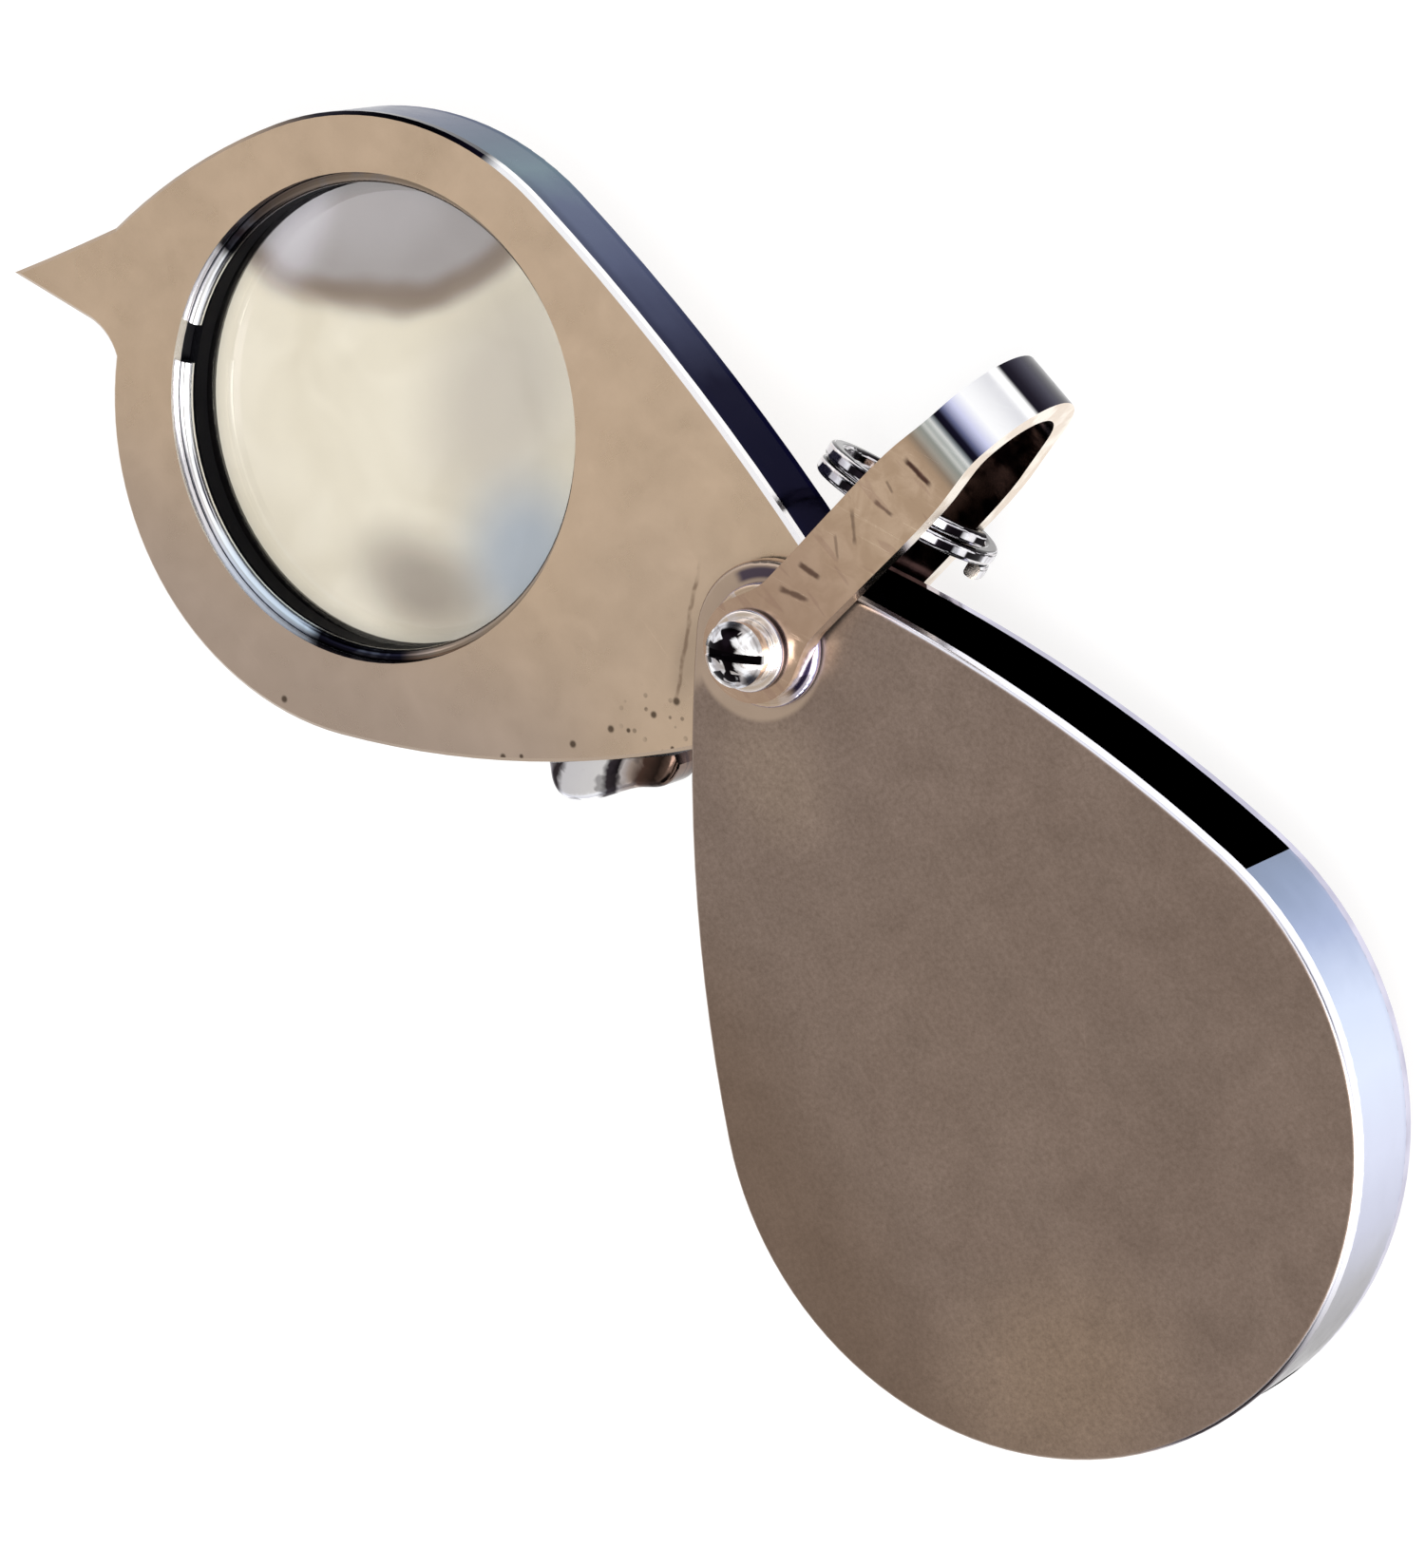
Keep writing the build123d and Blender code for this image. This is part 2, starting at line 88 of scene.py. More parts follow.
class Value:
    """A number in a node tree. Arithmetic on it adds Math nodes."""

    def __init__(self, tree, socket):
        self.tree = tree
        self.socket = socket

    __add__ = operation("ADD")
    __radd__ = operation("ADD", swap=True)
    __sub__ = operation("SUBTRACT")
    __rsub__ = operation("SUBTRACT", swap=True)
    __mul__ = operation("MULTIPLY")
    __truediv__ = operation("DIVIDE")

    def __abs__(self):
        return self.tree.math("ABSOLUTE", self)

    def ease(self, over, to=(0.0, 1.0), kind="SMOOTHSTEP"):
        """Map the range `over` onto `to`, eased at its ends and held beyond them."""
        inputs = {"Value": self, "From Min": over[0], "From Max": over[1],
                  "To Min": to[0], "To Max": to[1]}
        node = self.tree.add("ShaderNodeMapRange", inputs, interpolation_type=kind)
        return Value(self.tree, node.outputs["Result"])

    def linear(self, over, to=(0.0, 1.0)):
        return self.ease(over, to, kind="LINEAR")


class Nodes:
    """A small builder for one node tree."""

    def __init__(self, owner):
        owner.use_nodes = True
        self.tree = owner.node_tree
        self.tree.nodes.clear()

    def add(self, kind, inputs=None, **settings):
        """Add a node; `inputs` gives a value or a socket by input name or index."""
        node = self.tree.nodes.new(kind)
        for key, setting in settings.items():
            setattr(node, key, setting)
        for key, value in (inputs or {}).items():
            self.put(node.inputs[key], value)
        return node

    def put(self, socket, value):
        if isinstance(value, Value):
            value = value.socket
        if isinstance(value, bpy.types.NodeSocket):
            self.tree.links.new(value, socket)
        elif value is not None:
            socket.default_value = value

    def math(self, kind, first, second=None, clamp=False):
        node = self.add("ShaderNodeMath", {0: first, 1: second}, operation=kind, use_clamp=clamp)
        return Value(self, node.outputs[0])

    def angle(self, rise, run):
        return self.math("ARCTAN2", rise, run)

    def root(self, value):
        return self.math("SQRT", value)

    def radius(self, run, rise):
        return self.root(run * run + rise * rise)

    def peak(self, *values):
        """The largest of the values."""
        return reduce(lambda first, second: self.math("MAXIMUM", first, second), values)

    def split(self, vector):
        node = self.add("ShaderNodeSeparateXYZ", {0: vector})
        return [Value(self, output) for output in node.outputs]

    def mix(self, amount, first, second):
        inputs = {0: amount, 6: first, 7: second}
        return self.add("ShaderNodeMix", inputs, data_type="RGBA").outputs[2]

    def layer(self, tone, *layers):
        """Lay colours over a tone, each given as amount, red, green, blue (8-bit)."""
        for amount, *levels in layers:
            tone = self.mix(amount, tone, srgb(*levels))
        return tone

    def ramp(self, position, colour_stops):
        node = self.add("ShaderNodeValToRGB", {0: position})
        elements = node.color_ramp.elements
        while len(elements) < len(colour_stops):
            elements.new(0.5)
        for element, (place, colour) in zip(elements, colour_stops):
            element.position = place
            element.color = colour
        return node.outputs["Color"]


class Surface(Nodes):
    """A material with a pattern layout in millimetres, turned about Z by `turn`."""

    def __init__(self, name, turn=0.0):
        self.material = bpy.data.materials.new(name)
        super().__init__(self.material)
        self.turn = turn
        self.bsdf = self.add("ShaderNodeBsdfPrincipled")
        self.out = self.add("ShaderNodeOutputMaterial", {"Surface": self.bsdf.outputs["BSDF"]})

    @cached_property
    def coordinates(self):
        return self.add("ShaderNodeTexCoord").outputs

    @cached_property
    def place(self):
        return self.map(self.coordinates["Object"], scale=(1000, 1000, 1000), turn=self.turn)

    @cached_property
    def normal(self):
        return self.map(self.coordinates["Normal"], turn=self.turn)

    @cached_property
    def place_axes(self):
        return self.split(self.place)

    @cached_property
    def normal_axes(self):
        return self.split(self.normal)

    x = property(lambda self: self.place_axes[0])
    y = property(lambda self: self.place_axes[1])
    z = property(lambda self: self.place_axes[2])
    normal_x = property(lambda self: self.normal_axes[0])
    normal_y = property(lambda self: self.normal_axes[1])
    normal_z = property(lambda self: self.normal_axes[2])

    def map(self, vector, scale=(1, 1, 1), turn=0.0, move=(0, 0, 0)):
        inputs = {"Vector": vector, "Scale": scale, "Rotation": (0, 0, turn), "Location": move}
        return self.add("ShaderNodeMapping", inputs).outputs["Vector"]

    def vector(self, x, y):
        return self.add("ShaderNodeCombineXYZ", {0: x, 1: y, 2: 0.0}).outputs[0]

    def noise(self, scale, detail=3.0, rough=0.55, distort=0.0,
              vector=None, shift=None, stretch=None):
        """Noise over a vector, which is the place unless another is given."""
        vector = vector or self.place
        if shift or stretch:
            vector = self.map(vector, scale=stretch or (1, 1, 1), move=shift or (0, 0, 0))
        node = self.add("ShaderNodeTexNoise", {
            "Vector": vector, "Scale": scale, "Detail": detail,
            "Roughness": rough, "Distortion": distort})
        return Value(self, node.outputs["Fac"])

    def from_end(self):
        """Angle about the centre of the round end."""
        return self.angle(self.y, self.x - END_X)

    def from_lens(self):
        """Offsets in x and y from the lens axis."""
        return self.x - LENS_X, self.y + LENS_DROP

    def spot(self, at, fade, stretch=(1.0, 1.0)):
        """1 inside a soft spot in plan, falling to 0 over the radii `fade`."""
        across = (self.x - at[0]) * (1.0 / stretch[0])
        along = (self.y - at[1]) * (1.0 / stretch[1])
        return self.radius(across, along).ease(over=fade, to=(1.0, 0.0))

    def stroke(self, x0, y0, x1, y1, width, depth):
        """`depth` along a short straight mark in plan, tapering at its ends."""
        length = math.hypot(x1 - x0, y1 - y0)
        unit_x, unit_y = (x1 - x0) / length, (y1 - y0) / length
        offset_x = self.x - (x0 + x1) / 2
        offset_y = self.y - (y0 + y1) / 2
        along = abs(offset_x * unit_x + offset_y * unit_y)
        across = abs(offset_y * unit_x - offset_x * unit_y)
        across = across + (self.noise(scale=2.0, detail=2.0) - 0.5) * width
        core = across.ease(over=(width, width * 0.25))
        return core * along.ease(over=(length * 0.5, length * 0.3)) * depth

    def scratches(self, angle, dense, length, width, seed):
        """Hairline marks at an angle in plan: 0.5 on a mark."""
        vector = self.map(self.map(self.place, turn=angle),
                          scale=(1.0 / length, 1.0 / width, 0.4), move=(seed, seed * 1.7, 0))
        noise = self.noise(scale=1.0, detail=1.5, rough=0.6, distort=0.15, vector=vector)
        return noise.ease(over=(1.0 - dense, 1.0 - dense + 0.05)) * 0.5

    def crossed(self, first, second):
        """Two sets of scratches together."""
        return self.math("ADD", self.scratches(*first), self.scratches(*second), clamp=True)

    def set(self, name, value):
        self.put(self.bsdf.inputs[name], value)

    def finish(self, *names, tone, roughness, metallic=1.0, relief=None, strength=None,
               depth=0.00001):
        """Set the surface, with `relief` as a bump `depth` metres deep, and give
        the material to the named pieces."""
        self.set("Base Color", tone)
        self.set("Metallic", metallic)
        self.set("Roughness", roughness)
        if relief is not None:
            inputs = {"Height": relief, "Strength": strength, "Distance": depth}
            self.set("Normal", self.add("ShaderNodeBump", inputs).outputs["Normal"])
        for name in names:
            slots = pieces[name].data.materials
            slots.clear()
            slots.append(self.material)


# Hairline scratches: angle, density, length, width, seed
FRONT_HAIR = (0.5, 0.30, 7.0, 0.05, 3.1), (-0.9, 0.28, 5.0, 0.04, 8.3)
BACK_HAIR = (0.2, 0.32, 7.0, 0.05, 5.1), (-1.1, 0.30, 5.0, 0.04, 2.3)
STRIP_HAIR = (0.0, 0.33, 9.0, 0.05, 4.4)
BAIL_HAIR = (1.2, 0.32, 2.5, 0.05, 6.4)


# ------------------------------------------------------------- flat plates
def worn_front_with_painted_light(mat, piece, tones, mood, rim, edges, face_rough, rim_rough):
    """Polished plate dulled in use: mottled tone, fine grain and hairlines,
    with painted highlights and reflections on the rim. `mood` adds local colour,
    with painted light and shade on the case; `edges` adds painted shade on the
    case and a painted highlight round the lens window."""
    dark, light, tint = tones
    cloud = mat.noise(scale=0.16, detail=4.0, rough=0.6, distort=0.8)
    patch = mat.noise(scale=0.45, detail=5.0, rough=0.62, distort=0.3, shift=(31, 7, 3))
    grain = mat.noise(scale=3.2, detail=4.0, rough=0.7, shift=(5, 90, 1))
    speck = mat.noise(scale=11.0, detail=2.0, rough=0.5, shift=(55, 9, 1))
    hair = mat.crossed(*FRONT_HAIR)
    tone = mat.mix(cloud.ease(over=(0.36, 0.64)), dark, light)
    tone = mat.mix(patch.ease(over=(0.35, 0.7)) * 0.5, tone, tint)
    tone = mat.mix(grain.linear(over=(0.3, 0.7), to=(0.0, 0.30)), tone, dark)
    tone = mat.mix(speck.linear(over=(0.35, 0.65), to=(0.0, 0.22)), tone, light)
    tone = mood(mat, tone)
    tone = mat.mix(hair * 0.22, tone, light)
    # the rim takes its painted highlights and reflections; the edges add painted shade and
    # highlights
    face = mat.normal_z.ease(over=(0.80, 0.985))
    tone = edges(mat, mat.mix(face, rim, tone))
    rough = patch.linear(over=(0.3, 0.7), to=(-0.06, 0.08)) * face
    rough = rough + face.linear(over=(0.0, 1.0), to=(rim_rough, face_rough))
    mat.finish(piece, tone=tone, roughness=mat.math("ADD", rough, hair * 0.12, clamp=True),
               relief=grain * 0.5 + hair * -0.5 + speck * 0.3, strength=0.16, depth=0.00002)


def worn_back(mat, dark, light, grain_amount, grain_tone, hair_amount, hair_tone):
    """Face of a back plate: its tone, cloud pattern, hairlines and relief."""
    cloud = mat.noise(scale=0.2, detail=4.0, rough=0.6, distort=0.8)
    grain = mat.noise(scale=3.2, detail=4.0, rough=0.7, shift=(15, 20, 1))
    hair = mat.crossed(*BACK_HAIR)
    tone = mat.mix(cloud.ease(over=(0.36, 0.64)), srgb(*dark), srgb(*light))
    tone = mat.layer(
        tone,
        (grain.linear(over=(0.3, 0.7), to=(0.0, grain_amount)), *grain_tone),
        (hair * hair_amount, *hair_tone))
    return tone, cloud, hair, grain * 0.5 - hair * 0.5


def case_mood(mat, tone):
    """Painted light and shade: tan round the pivot, darker along both long sides, lighter in one
    patch.
    """
    minus_y_side = mat.y.ease(over=(-6.0, -12.0)) * mat.x.ease(over=(4.0, 12.0))
    plus_y_side = mat.y.ease(over=(-4.0, 9.0)) * mat.x.ease(over=(6.0, 16.0))
    patch = mat.spot(at=(30.2, -4.6), fade=(0.6, 6.2), stretch=(1.0, 1.25))
    past_pivot = mat.spot(at=(4.4, -2.6), fade=(0.4, 3.4), stretch=(1.3, 1.0))
    pivot = mat.peak(mat.spot(at=(-0.15, -0.45), fade=(2.8, 3.08)),
                     mat.x.ease(over=(0.2, -0.6)))
    fine = mat.noise(scale=4.6, detail=5.0, rough=0.78, shift=(1, 44, 2))
    # a dark curved reflection on the pivot end
    angle = mat.angle(mat.y, mat.x)
    radius = mat.radius(mat.x, mat.y)
    arc = radius.ease(over=(2.5, 2.7)) * radius.ease(over=(3.15, 2.95))
    arc = arc * (angle.ease(over=(2.30, 2.45)) * angle.ease(over=(3.12, 2.95)))
    return mat.layer(
        tone,
        (plus_y_side * 0.35, 137, 121, 112),
        (mat.x.ease(over=(16.0, 5.0), to=(0.0, 0.5)), 156, 139, 129),
        (minus_y_side * 0.75, 132, 112, 97),
        (patch * 0.8, 168, 146, 126),
        (past_pivot * 0.75, 173, 154, 138),
        (fine.linear(over=(0.34, 0.66), to=(0.0, 0.5)), 110, 93, 80),
        (pivot * 0.95, 190, 169, 150),
        (arc * 0.9, 62, 54, 78))


def low_end(mat):
    """How near a point on the case's edges is to the wall's lower end."""
    turns = mat.from_end() / math.pi
    near = turns.ease(over=(0.24, 0.08)) * turns.ease(over=(-0.06, 0.0))
    return near * mat.x.ease(over=(END_X, 24.0))


def case_edges(mat, tone):
    """Painted shade: a dark inner face, and a dark rim at the wall's lower end."""
    return mat.layer(
        tone,
        (mat.normal_z.ease(over=(-0.6, -0.4), to=(1.0, 0.0)), 24, 21, 22),
        (low_end(mat) * mat.normal_z.ease(over=(0.985, 0.80)), 70, 64, 66))


def case_front():
    """Brown-grey, dull plate with a painted highlight on its rim, bright on its +Y side."""
    mat = Surface("case_front_worn_and_painted_light")
    # painted highlight on the rim, brightest on the wall side
    wall_side = mat.y.ease(over=(-4.0, 3.0)) * mat.x.ease(over=(0.2, 3.0))
    rim = mat.ramp(wall_side, stops(
        (0.00, 166, 148, 134), (0.45, 190, 184, 196), (0.80, 236, 234, 248),
        (1.00, 246, 246, 255)))
    # painted shade: the glare is dimmed towards the wall's lower end
    mat.set("Specular Tint", mat.mix(low_end(mat), srgb(*WHITE_LEVELS), srgb(216, 212, 216)))
    worn_front_with_painted_light(mat, "case_front_plate",
               tones=(srgb(147, 128, 116), srgb(152, 134, 122), srgb(149, 131, 119)),
               mood=case_mood, rim=rim, edges=case_edges, face_rough=0.38, rim_rough=0.24)


def case_back():
    mat = Surface("case_back_worn_and_painted_light")
    tone, _, hair, relief = worn_back(
        mat, dark=(138, 121, 110), light=(160, 142, 129),
        grain_amount=0.16, grain_tone=(118, 102, 92),
        hair_amount=0.22, hair_tone=(190, 175, 160))
    face = mat.normal_z.ease(over=(-0.80, -0.985))
    # painted highlight on the rim, pale lavender and mottled
    rim = mat.mix(mat.noise(scale=0.3, detail=2.0).ease(over=(0.4, 0.6)),
                  srgb(214, 212, 230), srgb(186, 184, 204))
    tone = mat.mix(face, rim, tone)
    # painted shade on the inner face, between the plates
    tone = mat.layer(tone, (mat.normal_z.ease(over=(0.4, 0.6)), 24, 21, 22))
    rough = face.linear(over=(0.0, 1.0), to=(0.12, 0.34)) + hair * 0.12
    mat.finish("case_back_plate", tone=tone, roughness=rough,
               relief=relief, strength=0.16, depth=0.00002)


def case_wall():
    """Pale blue-white strip with a painted reflection sweeping softly round the end."""
    mat = Surface("case_wall_polished_painted_reflection")
    turns = mat.from_end() / math.pi
    turns = turns + (mat.noise(scale=0.5, detail=2.0) - 0.5) * 0.03
    tone = mat.ramp(turns, stops(
        (0.05, 87, 84, 81), (0.105, 101, 99, 96), (0.18, 145, 144, 151),
        (0.25, 184, 187, 208), (0.32, 206, 211, 232), (0.39, 214, 223, 242),
        (0.45, 206, 217, 240), (0.515, 161, 174, 206), (0.565, 134, 149, 178),
        (0.60, 122, 136, 162)))
    # painted shade: the glare is dimmed towards the wall's lower end
    mat.set("Specular Tint", mat.mix(low_end(mat), srgb(*WHITE_LEVELS), srgb(217, 216, 218)))
    hair = mat.scratches(*STRIP_HAIR)
    radius = mat.root(mat.y * mat.y + (mat.x - END_X) * (mat.x - END_X))
    # paler towards -Z, and painted shade on the inner face of the round end
    tone = mat.layer(
        tone,
        (mat.z.ease(over=(-1.6, -1.95)) * 0.3, 176, 178, 205),
        (radius.ease(over=(13.4, 13.3)), 26, 23, 24))
    rough = mat.noise(scale=1.2).linear(over=(0.3, 0.7), to=(0.10, 0.20)) + hair * 0.15
    mat.finish("case_wall", tone=tone, roughness=rough,
               relief=hair, strength=0.08, depth=0.00002)


# -------------------------------------------------------------- lens frame
# Single pits along the thumb-lug side: x, y, radius
FRAME_PITS = [
    (3.44, 4.23, 0.17), (1.7, 5.6, 0.10), (4.23, 5.19, 0.15), (5.87, 6.6, 0.16),
    (7.31, 7.96, 0.16), (9.4, 9.5, 0.10), (10.2, 9.9, 0.14), (12.2, 11.0, 0.10),
    (15.4, 11.9, 0.13), (20.9, 12.3, 0.16), (5.1, 6.3, 0.10), (3.0, 6.1, 0.09),
]

# Painted reflection on the band along FRAME_SPAN, also seen on the back plate's edge
BAND_REFLECTION_STOPS = stops(
    (0.10, 30, 28, 40), (0.195, 30, 29, 42), (0.27, 34, 33, 46), (0.35, 64, 67, 88),
    (0.43, 88, 94, 118), (0.51, 104, 112, 134), (0.57, 126, 144, 152),
    (0.63, 124, 136, 148), (0.72, 138, 144, 162), (0.90, 150, 154, 170))


def frame_mood(mat, tone):
    """Tones round the pivot, pits, and a faint worn line beside the pivot."""
    dim = mat.y.ease(over=(1.5, 11.5)) * mat.x.ease(over=(2.0, 9.0))
    near = mat.spot(at=(5.0, 1.5), fade=(1.5, 7.0))
    dull = mat.spot(at=(3.4, 2.2), fade=(0.3, 1.6), stretch=(0.7, 1.6))
    pits = [mat.spot(at=(x, y), fade=(radius * 0.5, radius * 1.3))
            for x, y, radius in FRAME_PITS]
    # a fine crowd of pits by the pivot
    cells = mat.add("ShaderNodeTexVoronoi", {
        "Vector": mat.map(mat.place, move=(2, 3, 0)), "Scale": 1.9, "Randomness": 1.0})
    distance = Value(mat, cells.outputs["Distance"])
    zone = mat.spot(at=(3.8, 5.5), fade=(0.8, 2.1), stretch=(1.2, 0.8))
    zone = zone * mat.noise(scale=0.9, detail=2.0).ease(over=(0.40, 0.52))
    crowd = distance.ease(over=(0.24, 0.15)) * zone * 0.7
    # the worn line leans slightly and wavers
    line_x = 4.08 + mat.y * -0.143
    line_x = line_x + (mat.noise(scale=0.8, detail=2.0) - 0.5) * 0.3
    ends = mat.y.ease(over=(-1.9, -0.6)) * mat.y.ease(over=(4.4, 3.6))
    line = abs(mat.x - line_x).ease(over=(0.13, 0.03)) * ends
    line = line * mat.noise(scale=1.4, detail=2.0).ease(over=(0.36, 0.56), to=(0.15, 0.65))
    return mat.layer(
        tone,
        (dim * 0.8, 187, 170, 158),
        (near * 0.25, 206, 186, 168),
        (dull * 0.4, 168, 150, 132),
        (mat.peak(*pits, crowd) * 0.85, 70, 56, 44),
        (line, 128, 104, 86))


def window_edge(mat, tone):
    """Painted highlight on the edge of the lens window: pale on its +X side, tan on its -X side.
    """
    across, along = mat.from_lens()
    edge = mat.radius(across, along).ease(over=(10.4, 10.3))
    edge = edge * abs(mat.normal_z).ease(over=(0.8, 0.6))
    pale = mat.mix(across.ease(over=(-3.0, 5.0)), srgb(150, 134, 120), srgb(226, 222, 224))
    return mat.mix(edge, tone, pale)


def frame_front():
    """Warm tan plate. Its rim has a painted highlight, white on the -Y flank, and a painted
    black reflection on part of the round end, with tan beyond."""
    mat = Surface("lens_frame_front_worn_and_painted_light", -OPEN_ANGLE)
    rim = mat.ramp((mat.from_end() + math.pi) / (2 * math.pi), stops(
        (0.000, 196, 180, 162), (0.030, 250, 248, 248), (0.216, 255, 255, 255),
        (0.226, 14, 12, 26), (0.330, 20, 17, 30), (0.380, 150, 130, 112),
        (0.600, 186, 164, 142), (0.800, 150, 132, 116), (1.000, 170, 150, 130)))
    worn_front_with_painted_light(mat, "lens_frame_front_plate",
               tones=(srgb(213, 189, 163), srgb(224, 199, 172), srgb(220, 196, 170)),
               mood=frame_mood, rim=rim, edges=window_edge, face_rough=0.30, rim_rough=0.16)


def frame_back():
    mat = Surface("lens_frame_back_worn_and_painted_reflection", -OPEN_ANGLE)
    tone, cloud, hair, relief = worn_back(
        mat, dark=(202, 180, 156), light=(220, 196, 170),
        grain_amount=0.14, grain_tone=(170, 150, 130),
        hair_amount=0.2, hair_tone=(235, 220, 200))
    # the side carries the band's painted reflection
    side = mat.ramp(mat.x.linear(over=FRAME_SPAN), BAND_REFLECTION_STOPS)
    side = mat.layer(side, (mat.y.ease(over=(-1.0, 1.5)), 150, 138, 130))
    face = mat.normal_z.ease(over=(-0.80, -0.985))
    mat.set("Specular Tint", mat.mix(face, srgb(168, 170, 182), srgb(*WHITE_LEVELS)))
    rough = cloud.linear(over=(0.3, 0.7), to=(0.2, 0.3)) + hair * 0.12
    mat.finish("lens_frame_back_plate", tone=mat.mix(face, side, tone), roughness=rough,
               relief=relief, strength=0.14, depth=0.00002)


def frame_band():
    """Painted reflection: steel blue at the round end, dark towards the pivot."""
    mat = Surface("lens_frame_band_polished_painted_reflection", -OPEN_ANGLE)
    along = mat.x.linear(over=FRAME_SPAN) + (mat.noise(scale=0.4) - 0.5) * 0.05
    # a dark painted reflection streak
    streak = mat.z.ease(over=(0.5, 1.1)) * mat.x.ease(over=(20.0, 14.0))
    tone = mat.layer(
        mat.ramp(along, BAND_REFLECTION_STOPS),
        (mat.y.ease(over=(-1.0, 1.5)), 150, 138, 130),
        (streak * 0.35, 30, 30, 48))
    mat.set("Specular Tint", mat.ramp(along, stops(
        (0.10, 180, 181, 188), (0.27, 184, 185, 192), (0.45, 194, 195, 202),
        (0.70, 204, 205, 210))))
    hair = mat.scratches(*STRIP_HAIR)
    rough = mat.noise(scale=1.0).linear(over=(0.3, 0.7), to=(0.14, 0.26)) + hair * 0.15
    mat.finish("lens_frame_band", tone=tone, roughness=rough,
               relief=hair, strength=0.08, depth=0.00002)


# -------------------------------------------------------------------- bail
# Nicks on the front arm: x and y of each end, width, depth
BAIL_NICKS = [
    (10.20, 0.88, 10.31, -0.77, 0.15, 1.00),
    (8.12, 0.59, 8.33, -0.47, 0.12, 0.70),
    (7.24, 0.99, 6.29, -0.21, 0.12, 0.55),
    (4.01, 1.02, 4.33, -0.13, 0.16, 0.85),
    (2.68, 0.92, 3.39, -0.43, 0.17, 0.75),
    (9.05, 0.75, 8.91, 0.16, 0.08, 0.50),
    (6.02, 0.77, 5.36, -0.11, 0.09, 0.45),
]

# Painted reflections round the bend, from past the rear arm to past the front arm
BEND_REFLECTION_STOPS = stops(
    (0.00, 150, 130, 112), (0.20, 60, 52, 60), (0.44, 30, 27, 38), (0.520, 54, 52, 68),
    (0.585, 26, 22, 34), (0.612, 20, 18, 28), (0.628, 255, 255, 255),
    (0.765, 255, 255, 255), (0.805, 200, 202, 230), (0.836, 96, 100, 132),
    (0.850, 22, 20, 36), (0.867, 16, 14, 28), (0.877, 150, 158, 164),
    (0.887, 246, 250, 250), (0.900, 200, 208, 206), (0.911, 238, 242, 240),
    (0.924, 172, 178, 172), (0.945, 190, 186, 176), (0.965, 170, 152, 134),
    (0.985, 200, 173, 146))


def bail_strap():
    """Tan front arm with short nicks, painted chrome reflections round the bend, painted shade
    inside.
    """
    mat = Surface("bail_chrome_worn_painted_light", -BAIL_ANGLE)
    # round the bend: 0 at its tip, 1 at the front arm, -1 at the rear arm
    around = mat.angle(mat.z, mat.x - BEND_X) / (math.pi / 2)
    bend = mat.ramp(around.linear(over=(-1.15, 1.15)), BEND_REFLECTION_STOPS)
    cloud = mat.noise(scale=0.8, detail=4.0, rough=0.6, distort=0.6)
    nicks = mat.peak(*[mat.stroke(*nick) for nick in BAIL_NICKS])
    faint = mat.noise(scale=1.0, detail=1.0, rough=0.5, distort=0.4,
                      stretch=(2.4, 0.5, 0.2), shift=(3.3, 1.4, 0))
    hair = mat.scratches(*BAIL_HAIR)
    arm = mat.layer(
        mat.mix(cloud.ease(over=(0.35, 0.65)), srgb(208, 180, 152), srgb(224, 197, 170)),
        (mat.x.ease(over=(8.0, 3.0), to=(0.0, 0.6)), 186, 156, 136),
        (nicks * 0.95, 78, 50, 44),
        (faint.ease(over=(0.60, 0.68)) * 0.22, 160, 122, 112),
        (hair * 0.3, 240, 224, 200))
    tone = mat.mix(mat.x.ease(over=(10.4, 10.8)), arm, bend)
    # painted highlights on the strap's side edges
    side = abs(mat.normal_y).ease(over=(0.7, 0.9))
    side_tone = mat.mix(mat.noise(scale=0.7, detail=2.0).ease(over=(0.4, 0.6)),
                        srgb(250, 240, 226), srgb(226, 208, 188))
    tone = mat.mix(side, tone, side_tone)
    # painted shade on its inner faces, which look back to the middle of the loop
    outward = mat.normal_z * mat.z + mat.normal_x * mat.peak(mat.x - BEND_X, 0.0)
    inner = outward.ease(over=(-0.4, -1.0)) * (1.0 - side)
    dark = mat.mix(mat.noise(scale=0.9, stretch=(1, 1, 3)).ease(over=(0.4, 0.62)),
                   srgb(22, 12, 12), srgb(88, 66, 58))
    rough = cloud.linear(over=(0.3, 0.7), to=(0.14, 0.24)) + hair * 0.15
    mat.finish("bail_strap", tone=mat.mix(inner, tone, dark), roughness=rough,
               relief=nicks * -0.8 + hair * -0.4, strength=0.25, depth=0.00003)


# ------------------------------------------------------- small chrome parts
def chrome(name, piece, scale, contrast, seed, cut):
    """Bright chrome with painted reflections: dark sweeps start at `cut` and are `contrast`
    strong, with a faint tan tint.
    """
    mat = Surface(name)
    soft = mat.noise(scale=scale, distort=0.5, shift=(seed, seed * 0.7, seed * 1.3))
    wisp = mat.noise(scale=2.2, detail=2.0, rough=0.5, distort=0.6,
                     vector=mat.normal, shift=(seed, 2, 1))
    tone = mat.layer(
        mat.mix(soft.ease(over=(0.38, 0.62)), srgb(214, 210, 216), srgb(246, 246, 250)),
        (wisp.ease(over=(cut, cut + 0.06)) * contrast, 20, 16, 20),
        (wisp.ease(over=(0.44, 0.36)) * 0.25, 206, 176, 146))
    mat.finish(piece, tone=tone, roughness=soft.linear(over=(0.3, 0.7), to=(0.06, 0.16)),
               relief=mat.noise(scale=14.0), strength=0.06)


